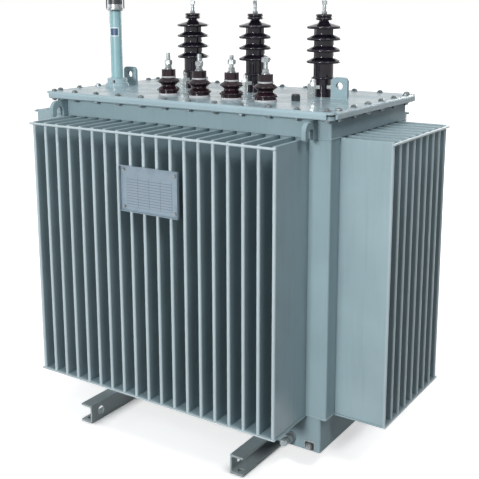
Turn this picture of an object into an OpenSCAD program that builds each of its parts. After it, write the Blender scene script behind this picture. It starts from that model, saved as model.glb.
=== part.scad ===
// Oil-filled distribution transformer with corrugated cooling walls.
// Millimetres, +Z up, front along -Y, origin on the ground under the middle of the tank.

/* [Cooling fins] */
// Distance from one fin to the next
fin_pitch = 45; // [30:1:70]
// Thickness of one folded fin across its two sheets
fin_w = 10; // [6:0.5:16]
// Thickness of the folded sheet
fin_sheet = 2; // [1:0.1:2.5]
// Height of the cooling walls
fin_h = 754; // [400:1:1200]
// Number of fins on the front and on the back
front_fins = 19; // [5:1:40]
// Number of fins on each end
side_fins = 9; // [3:1:20]
// How far the front and back fins stand out of their sheet
front_fin_depth = 172; // [60:1:300]
// How far the end fins stand out of their sheet
side_fin_depth = 154; // [60:1:300]
// Diameter of the stiffener rod across the upper fin tips
rod_d = 7; // [5:0.5:16]
// How far a rod runs past the outer fins
rod_over = 4; // [0:1:30]
// Distance of the rods from the upper end of the fins
rod_inset = 5; // [4:0.5:40]

/* [Tank] */
// Flat width on the front between the last fin and the tank corner
front_flat = 62; // [35:1:120]
// Flat width on the ends between the last fin and the tank corner
side_flat = 51; // [30:1:120]
// Thickness of the corner posts
post_t = 8; // [4:0.5:14]
// Outer bend radius of the corner posts
post_r = 5; // [2:0.5:20]
// Height of the plain wall above the fins
band_h = 51; // [30:1:140]
// Thickness of the tank flange
flange_t = 10; // [6:0.5:20]
// Clear space between the flange and the turned-down lid edge
flange_gap = 1.5; // [0.5:0.5:4]
// Corner radius of the flange and its gasket
flange_r = 14; // [6:0.5:20]
// Thickness of the lid gasket
gasket_t = 5; // [2:0.5:10]
// Depth of the base pan under the fins
pan_h = 100; // [40:1:200]
// How far the base pan is set in from the tank ends
pan_inset_x = 18; // [9:0.5:24]
// How far the base pan is set in from the tank front and back
pan_inset_y = 4; // [0:0.5:10]
// Sheet thickness of the base pan
pan_t = 5; // [3:0.5:10]
// Corner radius of the base pan
pan_r = 6; // [6:1:40]
// Thickness of the plate under the fins
shelf_t = 4; // [2:0.5:10]
// How far the plate under the fins stands out past the fins
shelf_over = 3; // [1:0.5:15]
// How far the plate under the fins reaches inside the base pan
shelf_lap = 10; // [6:0.5:40]

/* [Lid] */
// Sheet thickness of the lid
lid_t = 6; // [3:0.5:12]
// How far the lid stands out past the tank at the ends
lid_over_x = 23; // [20:1:70]
// How far the lid stands out past the tank at the front and back
lid_over_y = 33; // [25:1:70]
// Height of the turned-down edge, over all
lip_h = 18; // [14:0.5:40]
// Outer bend radius of the turned-down edge
lip_r = 9; // [7:0.5:13]
// Length of the open notch at each lid corner
lip_notch = 21; // [15:1:50]
// How far the flat lid corner is set in over the notch
corner_in = 3; // [1:0.5:6]
// Radius of the flat lid corner over the notch
corner_r = 15; // [8:0.5:17]

/* [Base channels] */
// Height of the channels
leg_h = 56; // [40:1:120]
// Width of the channel flanges
leg_b = 41; // [25:1:60]
// Thickness of the channel webs
leg_web = 4.5; // [3:0.5:9]
// Thickness of the channel flanges
leg_flange = 6; // [4:0.5:9]
// Inner bend radius of the channels
leg_r = 6; // [3:0.5:9]
// Length of the channels
leg_l = 730; // [500:1:1000]
// Distance between the fixing slots, across the transformer
leg_gauge = 550; // [400:1:700]
// Distance of the fixing slots from the channel ends
slot_in = 20; // [15:1:40]
// Width of the fixing slots
slot_w = 14; // [9:0.5:18]
// Length of the fixing slots over both round ends
slot_l = 20; // [18:0.5:24]
// Diameter of the pulling holes in the webs
pull_d = 27; // [12:0.5:28]
// Distance of the pulling holes from the channel ends
pull_in = 41; // [20:1:80]

/* [Lifting] */
// Thickness of the tank hooks
hook_t = 12; // [6:0.5:20]
// How far the tank hooks stand out from the wall
hook_out = 66; // [56:1:100]
// Overall height of the tank hooks
hook_h = 47; // [35:0.5:70]
// Width of the hook opening
hook_gap = 27; // [16:0.5:30]
// Width of the hook nose outside the opening
hook_nose = 16; // [10:0.5:20]
// Depth of metal over the hook opening
hook_bridge = 18; // [12:0.5:20]
// Outer radius of the hook's shoulder
hook_r = 22; // [10:0.5:24]
// Distance of the hooks from the tank corners
hook_in = 42; // [20:1:60]
// Clear space between the hooks and the flange
hook_drop = 4; // [1:0.5:15]
// Width of the lid lugs
lug_w = 50; // [36:1:80]
// Height of the lid lugs
lug_h = 60; // [45:1:90]
// Thickness of the lid lugs
lug_t = 10; // [6:0.5:20]
// Diameter of the lug holes
lug_hole = 21; // [12:0.5:28]
// Height of the lug holes above the lid
lug_hole_z = 36; // [25:0.5:45]
// Corner radius of the lid lugs
lug_r = 12; // [4:0.5:17]
// Place of the left lug along the lid
lug_left_x = -399; // [-450:1:-300]
// Place of the right lug along the lid
lug_right_x = 362; // [320:1:450]
// Place of both lugs across the lid
lug_y = 25; // [0:1:60]

/* [High-voltage bushings] */
// Distance between the high-voltage bushings
hv_pitch = 230; // [180:1:260]
// Middle of the high-voltage row along the lid
hv_x = 62; // [-20:1:100]
// Place of the high-voltage row across the lid
hv_y = 57; // [30:1:120]
// Diameter of the porcelain body
hv_core_d = 57; // [44:0.5:66]
// Diameter of the sheds
hv_shed_d = 98; // [84:0.5:120]
// Distance between sheds
hv_shed_pitch = 32; // [28:0.5:40]
// Number of sheds
hv_sheds = 4; // [2:1:6]
// Height of the lowest shed rim above the lid
hv_shed_z = 99; // [94:0.5:130]
// Thickness of a shed at its rim
hv_rim = 7.5; // [3:0.5:9]
// Radius of the hollow curve from a shed to the body
hv_flare = 5; // [4:0.5:12]
// Diameter of the neck under the cap
hv_neck_d = 28; // [24:0.5:36]
// Radius of the hollow curve from the top shed to the neck
hv_neck_flare = 10; // [4:0.5:14]
// Diameter of the cap with its two lobes
hv_cap_d = 47; // [40:0.5:54]
// Thickness of one lobe of the cap
hv_lobe = 8.5; // [7:0.5:14]
// Height of the narrow foot of the porcelain
hv_foot_h = 50; // [40:0.5:60]
// Diameter of the narrow foot of the porcelain
hv_foot_d = 46; // [36:0.5:52]
// Diameter of the high-voltage studs
hv_stud_d = 10; // [6:0.5:12]
// Height of the high-voltage studs above the cap
hv_stud_h = 38; // [26:0.5:60]
// Height of the nut on the cap
hv_nut_h = 7; // [5:0.5:10]

/* [Bushing claws] */
// Number of claws round a high-voltage bushing
claw_count = 4; // [3:1:6]
// How far the ring of claws is turned
claw_turn = -15; // [-45:1:45]
// Distance of the claw studs from the middle of the bushing
claw_r = 42; // [38:0.5:48]
// Width of a claw
claw_w = 20; // [16:0.5:24]
// Thickness of a claw
claw_t = 10; // [6:0.5:14]
// Height of the underside of a claw above the lid
claw_z = 24; // [14:0.5:28]
// Diameter of the claw studs
claw_stud_d = 10; // [6:0.5:12]
// Height of the claw nuts
claw_nut_h = 9; // [6:0.5:12]
// How far the claw studs stand out of their nuts
claw_end = 10; // [2:0.5:14]

/* [Low-voltage bushings] */
// Distance between the low-voltage bushings
lv_pitch = 111; // [90:1:130]
// Middle of the low-voltage row along the lid
lv_x = 53; // [-20:1:100]
// Place of the low-voltage row across the lid
lv_y = -138; // [-170:1:-110]
// Diameter of the lower shed
lv_shed_d = 69; // [60:0.5:80]
// Diameter of the upper shed
lv_top_shed_d = 67; // [60:0.5:80]
// Diameter of the low-voltage porcelain body
lv_core_d = 43; // [36:0.5:44]
// Height of the lower shed rim above the lid
lv_shed_z = 15; // [13:0.5:24]
// Diameter of the porcelain on its gasket
lv_base_d = 60; // [50:0.5:62]
// Thickness of the lower shed at its rim
lv_low_rim = 6; // [4:0.5:12]
// Thickness of the upper shed at its rim
lv_high_rim = 5; // [4:0.5:10]
// Height of the upper shed rim above the lower one
lv_shed_pitch = 24; // [22:0.5:40]
// Radius of the hollow curve from a shed to the body
lv_flare = 3; // [2:0.5:8]
// Diameter of the porcelain inside the ring
lv_neck_d = 34; // [30:0.5:36]
// Outer diameter of the ring under the collar
lv_ring_d = 43; // [38:0.5:50]
// Thickness of the ring under the collar
lv_ring_t = 4; // [3:0.5:8]
// Diameter of the collar on top
lv_collar_d = 41; // [38:0.5:54]
// Height of the collar
lv_collar_h = 20; // [12:0.5:30]
// Thickness of the gasket under the bushings
lv_gasket_t = 5; // [2:0.5:9]
// Diameter of the gasket under the bushings
lv_gasket_d = 62; // [50:0.5:68]
// Diameter of the low-voltage studs
lv_stud_d = 12; // [8:0.5:16]
// Height of the low-voltage studs above the collar
lv_stud_h = 47; // [42:0.5:80]
// Height of the nut on the collar
lv_nut_h = 10; // [7:0.5:14]
// Thickness of the washer on the collar
lv_washer_t = 3; // [1:0.5:5]

/* [Oil filler] */
// Place of the filler pipe along the lid
fill_x = -394; // [-420:1:-340]
// Place of the filler pipe across the lid
fill_y = -46; // [-120:1:-40]
// Outer diameter of the filler pipe
fill_d = 38; // [28:0.5:44]
// Wall of the filler pipe
fill_wall = 4; // [2:0.5:6]
// Height of the filler pipe above its flange
fill_h = 208; // [120:1:300]
// Diameter of the lower flange ring
fill_ring_d = 75; // [68:0.5:90]
// Diameter of the upper flange ring
fill_neck_d = 64; // [54:0.5:66]
// Height of the lower flange ring
fill_ring_h = 12; // [6:0.5:20]
// Height of the upper flange ring
fill_neck_h = 17; // [8:0.5:30]
// Diameter of the flared rim of the valve seat
seat_d = 58; // [54:0.5:66]
// Height of the flare of the valve seat
seat_flare = 6; // [4:0.5:8]
// Thickness of the rim of the valve seat
seat_rim = 3; // [2:0.5:5]
// Height of the valve seat
seat_h = 22; // [16:0.5:40]
// Diameter of the relief valve cap
cap_d = 45; // [36:0.5:46]
// Height of the relief valve cap with its bail
cap_h = 40; // [24:0.5:60]
// Diameter of the two bail posts beside the cap
bail_d = 4; // [3:0.5:4]
// Width of the strap over the cap
bail_w = 12; // [6:0.5:20]
// Thickness of the strap over the cap
bail_t = 4; // [2:0.5:6]
// How far the bail is turned
bail_turn = 33; // [-90:1:90]

/* [Fittings] */
// Place of the thermometer plug along the lid
plug_x = 283; // [272:1:300]
// Place of the thermometer plug across the lid
plug_y = -84; // [-90:1:-60]
// Width of the plug head across its flats
plug_af = 24; // [18:0.5:32]
// Height of the plug
plug_h = 19; // [12:0.5:30]
// Place of the drain valve along the base pan
drain_x = 366; // [320:1:390]
// Height of the drain valve above the pan floor
drain_z = 26; // [23:0.5:50]
// Diameter of the drain valve stub
drain_d = 22; // [14:0.5:26]
// How far the drain valve stands out of the pan
drain_out = 48; // [40:0.5:90]
// Width of the name plate
plate_w = 197; // [120:1:260]
// Height of the name plate
plate_h = 125; // [80:1:180]
// Thickness of the name plate sheet
plate_t = 1.5; // [1:0.1:3]
// Depth of the turned edge of the name plate
plate_edge = 9; // [5:0.5:15]
// Middle of the name plate along the front
plate_x = 22; // [-100:1:100]
// Middle of the name plate below the upper end of the fins
plate_drop = 154; // [110:1:300]

/* [Hidden] */
$fn = 48;
// Overlap that keeps cuts clean
eps = 1;
// Clearance of a fitted or welded-on piece
fit = 0.3;
// Rise of a shed from its rim inwards, per millimetre: high-voltage, its top one, low-voltage
hv_slope = 0.5;
neck_slope = 0.3;
lv_slope = 0.85;
// Depth of the coned underside of the upper low-voltage shed against its rim
lv_under = 1.4;
// Width of a nut over its corners against its stud
nut_ratio = 1.7;
// Width of a washer against its stud
washer_ratio = 2;
// Width of the drain valve's hexagon and of its neck against its end cap
drain_hex = 1.25;
drain_neck = 0.8;
paint = [0.60, 0.69, 0.72];
paint_lid = [0.64, 0.69, 0.71];
steel = [0.72, 0.74, 0.72];
porcelain_hv = [0.17, 0.14, 0.16];
porcelain_lv = [0.25, 0.13, 0.16];
black = [0.13, 0.15, 0.17];
// Tank plan
tank_l = (front_fins - 1) * fin_pitch + fin_w + 2 * front_flat;
tank_w = (side_fins - 1) * fin_pitch + fin_w + 2 * side_flat;
sheet_x = tank_l / 2 - post_t;
sheet_y = tank_w / 2 - post_t;
tip_x = sheet_x + side_fin_depth;
tip_y = sheet_y + front_fin_depth;
front_row = (front_fins - 1) * fin_pitch + fin_w;
side_row = (side_fins - 1) * fin_pitch + fin_w;
pan_x = tank_l / 2 - pan_inset_x;
pan_y = tank_w / 2 - pan_inset_y;
// Heights
pan_z = leg_h;
shelf_z = pan_z + pan_h;
fin_z = shelf_z + shelf_t;
band_z = fin_z + fin_h;
flange_z = band_z + band_h;
gasket_z = flange_z + flange_t;
lid_z = gasket_z + gasket_t;
lid_top = lid_z + lid_t;
// Lid plan
lid_x = tank_l / 2 + lid_over_x;
lid_y = tank_w / 2 + lid_over_y;
flange_x = lid_x - lid_t - flange_gap;
flange_y = lid_y - lid_t - flange_gap;
gasket_x = lid_x - lip_r - fit;
gasket_y = lid_y - lip_r - fit;
hole_x = sheet_x - fin_sheet;
hole_y = sheet_y - fin_sheet;

// A flat rectangle about the origin
module plan(x, y) {
    square([2 * x, 2 * y], center = true);
}

// A flat rectangle with round corners
module round_plan(x, y, r) {
    square([2 * x - 2 * r, 2 * y], center = true);
    square([2 * x, 2 * y - 2 * r], center = true);
    for (i = [-1, 1]) {
        for (j = [-1, 1]) {
            translate([i * (x - r), j * (y - r)]) circle(r = r);
        }
    }
}

// Plan of a row of folded fins, standing out along +Y
module fin_row(count, depth, w, root) {
    for (i = [0 : count - 1]) {
        translate([(i - (count - 1) / 2) * fin_pitch, 0]) {
            translate([-w / 2, -root]) square([w, depth - w / 2 + root]);
            translate([0, depth - w / 2]) circle(d = w);
        }
    }
}

// One corrugated wall: sheet and fins folded from it, closed at both ends
module fin_wall(count, depth, half_l) {
    inner = fin_w - 2 * fin_sheet;
    difference() {
        linear_extrude(fin_h) {
            translate([-half_l, -fin_sheet]) square([2 * half_l, fin_sheet]);
            fin_row(count, depth, fin_w, fin_sheet);
        }
        translate([0, 0, fin_sheet])
            linear_extrude(fin_h - 2 * fin_sheet)
                fin_row(count, depth - fin_sheet, inner, fin_sheet + eps);
    }
}

// Rod across the upper tips of one row of fins
module fin_rod(row, tip) {
    length = row + 2 * rod_over;
    translate([-length / 2, tip + rod_d / 2 + fit, fin_h - rod_inset])
        rotate([0, 90, 0])
            cylinder(d = rod_d, h = length);
}

module front_fin_wall() {
    color(paint) translate([0, -sheet_y, fin_z]) rotate([0, 0, 180])
        fin_wall(front_fins, front_fin_depth, hole_x - fit);
}

module back_fin_wall() {
    color(paint) translate([0, sheet_y, fin_z])
        fin_wall(front_fins, front_fin_depth, hole_x - fit);
}

module left_fin_wall() {
    color(paint) translate([-sheet_x, 0, fin_z]) rotate([0, 0, 90])
        fin_wall(side_fins, side_fin_depth, sheet_y);
}

module right_fin_wall() {
    color(paint) translate([sheet_x, 0, fin_z]) rotate([0, 0, -90])
        fin_wall(side_fins, side_fin_depth, sheet_y);
}

module front_fin_rod() {
    color(paint) translate([0, 0, fin_z]) rotate([0, 0, 180]) fin_rod(front_row, tip_y);
}

module back_fin_rod() {
    color(paint) translate([0, 0, fin_z]) fin_rod(front_row, tip_y);
}

module left_fin_rod() {
    color(paint) translate([0, 0, fin_z]) rotate([0, 0, 90]) fin_rod(side_row, tip_x);
}

module right_fin_rod() {
    color(paint) translate([0, 0, fin_z]) rotate([0, 0, -90]) fin_rod(side_row, tip_x);
}

// Bent corner post at the back right corner
module corner_post() {
    x0 = tank_l / 2 - front_flat + fit;
    y0 = tank_w / 2 - side_flat + fit;
    translate([0, 0, fin_z]) linear_extrude(fin_h) difference() {
        intersection() {
            round_plan(tank_l / 2, tank_w / 2, post_r);
            translate([x0, y0]) square([front_flat, side_flat]);
        }
        plan(sheet_x, sheet_y);
    }
}

module corner_post_front_left() {
    color(paint) rotate([0, 0, 180]) corner_post();
}

module corner_post_front_right() {
    color(paint) mirror([0, 1, 0]) corner_post();
}

module corner_post_back_left() {
    color(paint) mirror([1, 0, 0]) corner_post();
}

module corner_post_back_right() {
    color(paint) corner_post();
}

module base_pan() {
    color(paint) translate([0, 0, pan_z]) difference() {
        linear_extrude(pan_h) round_plan(pan_x, pan_y, pan_r);
        translate([0, 0, pan_t])
            linear_extrude(pan_h)
                round_plan(pan_x - pan_t, pan_y - pan_t, pan_r - pan_t);
    }
}

// Plate that closes the underside of all four fin walls
module fin_shelf() {
    color(paint) translate([0, 0, shelf_z]) linear_extrude(shelf_t) difference() {
        union() {
            round_plan(tank_l / 2, tank_w / 2, post_r);
            plan(front_row / 2 + shelf_over, tip_y + shelf_over);
            plan(tip_x + shelf_over, side_row / 2 + shelf_over);
        }
        plan(pan_x - pan_t - shelf_lap, pan_y - pan_t - shelf_lap);
    }
}

module upper_wall_band() {
    color(paint) translate([0, 0, band_z]) linear_extrude(band_h) difference() {
        round_plan(tank_l / 2, tank_w / 2, post_r);
        plan(hole_x, hole_y);
    }
}

module tank_flange() {
    color(paint) translate([0, 0, flange_z]) linear_extrude(flange_t) difference() {
        round_plan(flange_x, flange_y, flange_r);
        plan(hole_x, hole_y);
    }
}

module lid_gasket() {
    color(black) translate([0, 0, gasket_z]) linear_extrude(gasket_t) difference() {
        round_plan(gasket_x, gasket_y, flange_r);
        plan(hole_x, hole_y);
    }
}

// Section of one turned-down lid edge, out along +X, top at y = 0
module lip_plan() {
    translate([-lip_r, -lip_r]) intersection() {
        difference() {
            circle(r = lip_r);
            circle(r = lip_r - lid_t);
        }
        square(lip_r);
    }
    translate([-lid_t, -lip_h]) square([lid_t, lip_h - lip_r]);
}

// One turned-down edge of a given length, its outer face in the plane y = 0
module lip(length) {
    translate([-length / 2, 0, 0]) rotate([90, 0, 90]) linear_extrude(length) lip_plan();
}

// Flat of the lid with its four round corners over the notches
module lid_plan() {
    corner = lip_notch + eps;
    middle = corner_in + corner_r;
    plan(lid_x - lip_r, lid_y - lip_r);
    for (i = [-1, 1]) {
        for (j = [-1, 1]) {
            intersection() {
                translate([i * (lid_x - middle), j * (lid_y - middle)]) circle(r = corner_r);
                translate([i * (lid_x - corner / 2), j * (lid_y - corner / 2)])
                    square(corner, center = true);
            }
        }
    }
}

module lid() {
    color(paint_lid) translate([0, 0, lid_top]) {
        translate([0, 0, -lid_t]) linear_extrude(lid_t) lid_plan();
        for (a = [0, 180]) {
            rotate([0, 0, a]) translate([0, lid_y, 0]) lip(2 * (lid_x - lip_notch));
            rotate([0, 0, a + 90]) translate([0, lid_x, 0]) lip(2 * (lid_y - lip_notch));
        }
    }
}

// Channel section, web in the plane x = 0, flanges along +X
module channel_plan() {
    difference() {
        square([leg_b, leg_h]);
        translate([leg_web + leg_r, leg_flange])
            square([leg_b, leg_h - 2 * leg_flange]);
        translate([leg_web, leg_flange + leg_r])
            square([leg_b, leg_h - 2 * leg_flange - 2 * leg_r]);
        for (z = [leg_flange + leg_r, leg_h - leg_flange - leg_r]) {
            translate([leg_web + leg_r, z]) circle(r = leg_r);
        }
    }
}

// Fixing slot across the channel
module slot_plan() {
    run = slot_l - slot_w;
    square([run, slot_w], center = true);
    for (i = [-1, 1]) {
        translate([i * run / 2, 0]) circle(d = slot_w);
    }
}

// Right-hand base channel, opening outwards
module base_channel() {
    web_x = leg_gauge / 2 - (leg_b + leg_web) / 2;
    difference() {
        translate([web_x, leg_l / 2, 0]) rotate([90, 0, 0])
            linear_extrude(leg_l) channel_plan();
        for (j = [-1, 1]) {
            translate([leg_gauge / 2, j * (leg_l / 2 - slot_in), -eps])
                linear_extrude(leg_flange + 2 * eps) slot_plan();
            translate([web_x - eps, j * (leg_l / 2 - pull_in), leg_h / 2])
                rotate([0, 90, 0])
                    cylinder(d = pull_d, h = leg_web + 2 * eps);
        }
    }
}

module base_channel_left() {
    color(paint) mirror([1, 0, 0]) base_channel();
}

module base_channel_right() {
    color(paint) base_channel();
}

// Side view of a hook: y outwards from the wall, z up from the hook's lower end
module hook_plan() {
    gap_y = hook_out - hook_nose - hook_gap;
    gap_top = hook_h - hook_bridge;
    difference() {
        union() {
            square([hook_out - hook_nose, hook_h - hook_r]);
            translate([0, hook_nose / 2]) square([hook_out, hook_h - hook_r - hook_nose / 2]);
            translate([0, hook_h - hook_r]) square([hook_out - hook_r, hook_r]);
            translate([hook_out - hook_r, hook_h - hook_r]) circle(r = hook_r);
            translate([hook_out - hook_nose / 2, hook_nose / 2]) circle(d = hook_nose);
        }
        translate([gap_y, -eps]) square([hook_gap, gap_top - hook_gap / 2 + eps]);
        translate([gap_y + hook_gap / 2, gap_top - hook_gap / 2]) circle(d = hook_gap);
    }
}

// Hook on the back right of the tank
module lifting_hook() {
    translate([tank_l / 2 - hook_in - hook_t / 2, tank_w / 2, flange_z - hook_drop - hook_h])
        rotate([90, 0, 90])
            linear_extrude(hook_t) hook_plan();
}

module lifting_hook_front_left() {
    color(paint) rotate([0, 0, 180]) lifting_hook();
}

module lifting_hook_front_right() {
    color(paint) mirror([0, 1, 0]) lifting_hook();
}

module lifting_hook_back_left() {
    color(paint) mirror([1, 0, 0]) lifting_hook();
}

module lifting_hook_back_right() {
    color(paint) lifting_hook();
}

// Flat lifting lug with rounded upper corners
module lifting_lug(x) {
    straight = lug_h - lug_r;
    translate([x, lug_y + lug_t / 2, lid_top]) rotate([90, 0, 0]) linear_extrude(lug_t)
        difference() {
            union() {
                translate([-lug_w / 2, 0]) square([lug_w, straight]);
                translate([-lug_w / 2 + lug_r, 0]) square([lug_w - 2 * lug_r, lug_h]);
                for (i = [-1, 1]) {
                    translate([i * (lug_w / 2 - lug_r), straight]) circle(r = lug_r);
                }
            }
            translate([0, lug_hole_z]) circle(d = lug_hole);
        }
}

module lifting_lug_left() {
    color(paint_lid) lifting_lug(lug_left_x);
}

module lifting_lug_right() {
    color(paint_lid) lifting_lug(lug_right_x);
}

module filler_flange() {
    color(paint_lid) translate([fill_x, fill_y, lid_top]) difference() {
        union() {
            cylinder(d = fill_ring_d, h = fill_ring_h);
            cylinder(d = fill_neck_d, h = fill_ring_h + fill_neck_h);
        }
        translate([0, 0, -eps])
            cylinder(d = fill_d - 2 * fill_wall, h = fill_ring_h + fill_neck_h + 2 * eps);
    }
}

fill_z = lid_top + fill_ring_h + fill_neck_h;

module filler_pipe() {
    color([0.61, 0.77, 0.78]) translate([fill_x, fill_y, fill_z]) difference() {
        cylinder(d = fill_d, h = fill_h);
        translate([0, 0, -eps]) cylinder(d = fill_d - 2 * fill_wall, h = fill_h + 2 * eps);
    }
}

seat_z = fill_z + fill_h;

// Turned seat of the relief valve, with a flared rim
module valve_seat() {
    color(steel) translate([fill_x, fill_y, seat_z]) {
        cylinder(d1 = fill_d, d2 = seat_d, h = seat_flare);
        translate([0, 0, seat_flare]) cylinder(d = seat_d, h = seat_rim);
        translate([0, 0, seat_flare]) cylinder(d = cap_d, h = seat_h - seat_flare);
    }
}

// Black cap with a bail: two posts on the seat's rim and a strap over the cap
module relief_valve_cap() {
    post_x = seat_d / 2 - bail_d / 2;
    post_h = seat_h - seat_flare - seat_rim + cap_h;
    bevel = cap_d / 8;
    body = cap_h - bail_t - bevel;
    color(black) translate([fill_x, fill_y, seat_z + seat_h]) rotate([0, 0, bail_turn]) {
        cylinder(d = cap_d, h = body);
        translate([0, 0, body]) cylinder(d1 = cap_d, d2 = cap_d - 2 * bevel, h = bevel);
        for (i = [-1, 1]) {
            translate([i * post_x, 0, cap_h - post_h]) cylinder(d = bail_d, h = post_h - bail_t / 2);
        }
        translate([-seat_d / 2, -bail_w / 2, cap_h - bail_t]) cube([seat_d, bail_w, bail_t]);
    }
}

// Half section of a shed, the middle of its rim at z = 0: hollow upper side, coned underside
module shed(d, core, rim, flare, slope, under) {
    r = d / 2 - rim / 2;
    foot = core / 2 + flare;
    foot_z = rim / 2 + slope * (r - foot);
    low = -rim / 2 - under;
    translate([r, 0]) circle(d = rim);
    polygon([[0, low], [core / 2, low], [r, -rim / 2], [r, rim / 2], [foot, foot_z], [0, foot_z]]);
    difference() {
        translate([0, foot_z - rim / 2]) square([foot, flare + rim / 2]);
        translate([foot, foot_z + flare]) circle(r = flare);
    }
}

// Height of a shed from the middle of its rim to the end of its hollow curve
function shed_h(d, core, rim, flare, slope) =
    rim / 2 + slope * (d / 2 - rim / 2 - core / 2 - flare) + flare;

// Heights of the high-voltage bushing above the lid
hv_top = hv_shed_z + (hv_sheds - 1) * hv_shed_pitch;
hv_cap_z = hv_top + shed_h(hv_shed_d, hv_neck_d, hv_rim, hv_neck_flare, neck_slope);
hv_end = hv_cap_z + 2 * hv_lobe;

// Turned porcelain of a high-voltage bushing
module hv_porcelain() {
    bore = hv_stud_d / 2 + fit;
    lobe_x = hv_cap_d / 2 - hv_lobe / 2;
    bead = hv_rim / 2;
    rotate_extrude() difference() {
        union() {
            square([hv_foot_d / 2, hv_foot_h + eps]);
            translate([0, hv_foot_h]) square([hv_core_d / 2, hv_top - hv_foot_h]);
            translate([hv_core_d / 2, hv_foot_h + bead]) circle(r = bead);
            for (i = [0 : hv_sheds - 2]) {
                translate([0, hv_shed_z + i * hv_shed_pitch])
                    shed(hv_shed_d, hv_core_d, hv_rim, hv_flare, hv_slope, 0);
            }
            translate([0, hv_top])
                shed(hv_shed_d, hv_neck_d, hv_rim, hv_neck_flare, neck_slope, 0);
            translate([0, hv_cap_z - eps]) square([hv_neck_d / 2, 2 * eps]);
            translate([0, hv_cap_z]) square([lobe_x, 2 * hv_lobe]);
            translate([0, hv_cap_z + hv_lobe / 2]) square([lobe_x + hv_lobe / 6, hv_lobe]);
            for (z = [hv_lobe / 2, hv_lobe * 3 / 2]) {
                translate([lobe_x, hv_cap_z + z]) circle(d = hv_lobe);
            }
        }
        translate([0, -eps]) square([bore, hv_end + 2 * eps]);
    }
}

module hv_place(i) {
    translate([hv_x + (i - 2) * hv_pitch, hv_y, lid_top]) children();
}

module hv_bushing_1() {
    color(porcelain_hv) hv_place(1) hv_porcelain();
}

module hv_bushing_2() {
    color(porcelain_hv) hv_place(2) hv_porcelain();
}

module hv_bushing_3() {
    color(porcelain_hv) hv_place(3) hv_porcelain();
}

// One claw on its stud, reaching from +X to the foot of the bushing
module hv_claw() {
    inner = hv_foot_d / 2 + fit;
    outer = claw_r + claw_w / 2;
    top = claw_z + claw_t;
    translate([inner, -claw_w / 2, claw_z]) cube([outer - inner, claw_w, claw_t]);
    translate([outer - claw_t, -claw_w / 2, 0]) cube([claw_t, claw_w, top]);
    translate([claw_r, 0, 0]) cylinder(d = claw_stud_d, h = top + claw_nut_h + claw_end);
    translate([claw_r, 0, top]) cylinder(d = nut_ratio * claw_stud_d, h = claw_nut_h, $fn = 6);
}

module hv_claws() {
    color(steel) for (i = [1 : 3]) {
        for (j = [0 : claw_count - 1]) {
            hv_place(i) rotate([0, 0, claw_turn + j * 360 / claw_count]) hv_claw();
        }
    }
}

module hv_studs() {
    color(steel) for (i = [1 : 3]) {
        hv_place(i) {
            cylinder(d = hv_stud_d, h = hv_end + hv_stud_h);
            translate([0, 0, hv_end]) cylinder(d = nut_ratio * hv_stud_d, h = hv_nut_h, $fn = 6);
        }
    }
}

// Heights of the low-voltage bushing above the lid
lv_high_z = lv_shed_z + lv_shed_pitch;
lv_ring_z = lv_high_z + shed_h(lv_top_shed_d, lv_core_d, lv_high_rim, lv_flare, lv_slope);
lv_collar_z = lv_ring_z + lv_ring_t;
lv_end = lv_collar_z + lv_collar_h;

// Turned porcelain of a low-voltage bushing
module lv_porcelain() {
    bore = lv_stud_d / 2 + fit;
    rotate_extrude() difference() {
        union() {
            translate([0, lv_gasket_t]) square([lv_base_d / 2, lv_shed_z - lv_gasket_t]);
            translate([0, lv_shed_z]) square([lv_core_d / 2, lv_shed_pitch]);
            translate([0, lv_shed_z])
                shed(lv_shed_d, lv_core_d, lv_low_rim, lv_flare, lv_slope, 0);
            translate([0, lv_high_z])
                shed(lv_top_shed_d, lv_core_d, lv_high_rim, lv_flare, lv_slope, lv_under * lv_high_rim);
            translate([0, lv_ring_z - eps]) square([lv_neck_d / 2, lv_ring_t + 2 * eps]);
            translate([0, lv_collar_z]) square([lv_collar_d / 2, lv_collar_h]);
        }
        translate([0, -eps]) square([bore, lv_end + 2 * eps]);
    }
}

module lv_place(i) {
    translate([lv_x + (i - 2.5) * lv_pitch, lv_y, lid_top]) children();
}

module lv_bushing_1() {
    color(porcelain_lv) lv_place(1) lv_porcelain();
}

module lv_bushing_2() {
    color(porcelain_lv) lv_place(2) lv_porcelain();
}

module lv_bushing_3() {
    color(porcelain_lv) lv_place(3) lv_porcelain();
}

module lv_bushing_4() {
    color(porcelain_lv) lv_place(4) lv_porcelain();
}

// Pale gasket under each bushing and pale ring under its collar
module lv_gaskets() {
    color([0.85, 0.85, 0.82]) for (i = [1 : 4]) {
        lv_place(i) {
            difference() {
                cylinder(d = lv_gasket_d, h = lv_gasket_t);
                translate([0, 0, -eps])
                    cylinder(d = lv_stud_d + 2 * fit, h = lv_gasket_t + 2 * eps);
            }
            translate([0, 0, lv_ring_z]) difference() {
                cylinder(d = lv_ring_d, h = lv_ring_t);
                translate([0, 0, -eps]) cylinder(d = lv_neck_d + 2 * fit, h = lv_ring_t + 2 * eps);
            }
        }
    }
}

module lv_studs() {
    color(steel) for (i = [1 : 4]) {
        lv_place(i) {
            cylinder(d = lv_stud_d, h = lv_end + lv_stud_h);
            translate([0, 0, lv_end]) cylinder(d = washer_ratio * lv_stud_d, h = lv_washer_t);
            translate([0, 0, lv_end + lv_washer_t])
                cylinder(d = nut_ratio * lv_stud_d, h = lv_nut_h, $fn = 6);
        }
    }
}

module thermometer_plug() {
    bevel = plug_h / 6;
    across = plug_af / cos(30);
    color(black) translate([plug_x, plug_y, lid_top]) {
        cylinder(d = across, h = plug_h - bevel, $fn = 6);
        translate([0, 0, plug_h - bevel])
            cylinder(d1 = plug_af, d2 = plug_af - 2 * bevel, h = bevel);
    }
}

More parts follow.
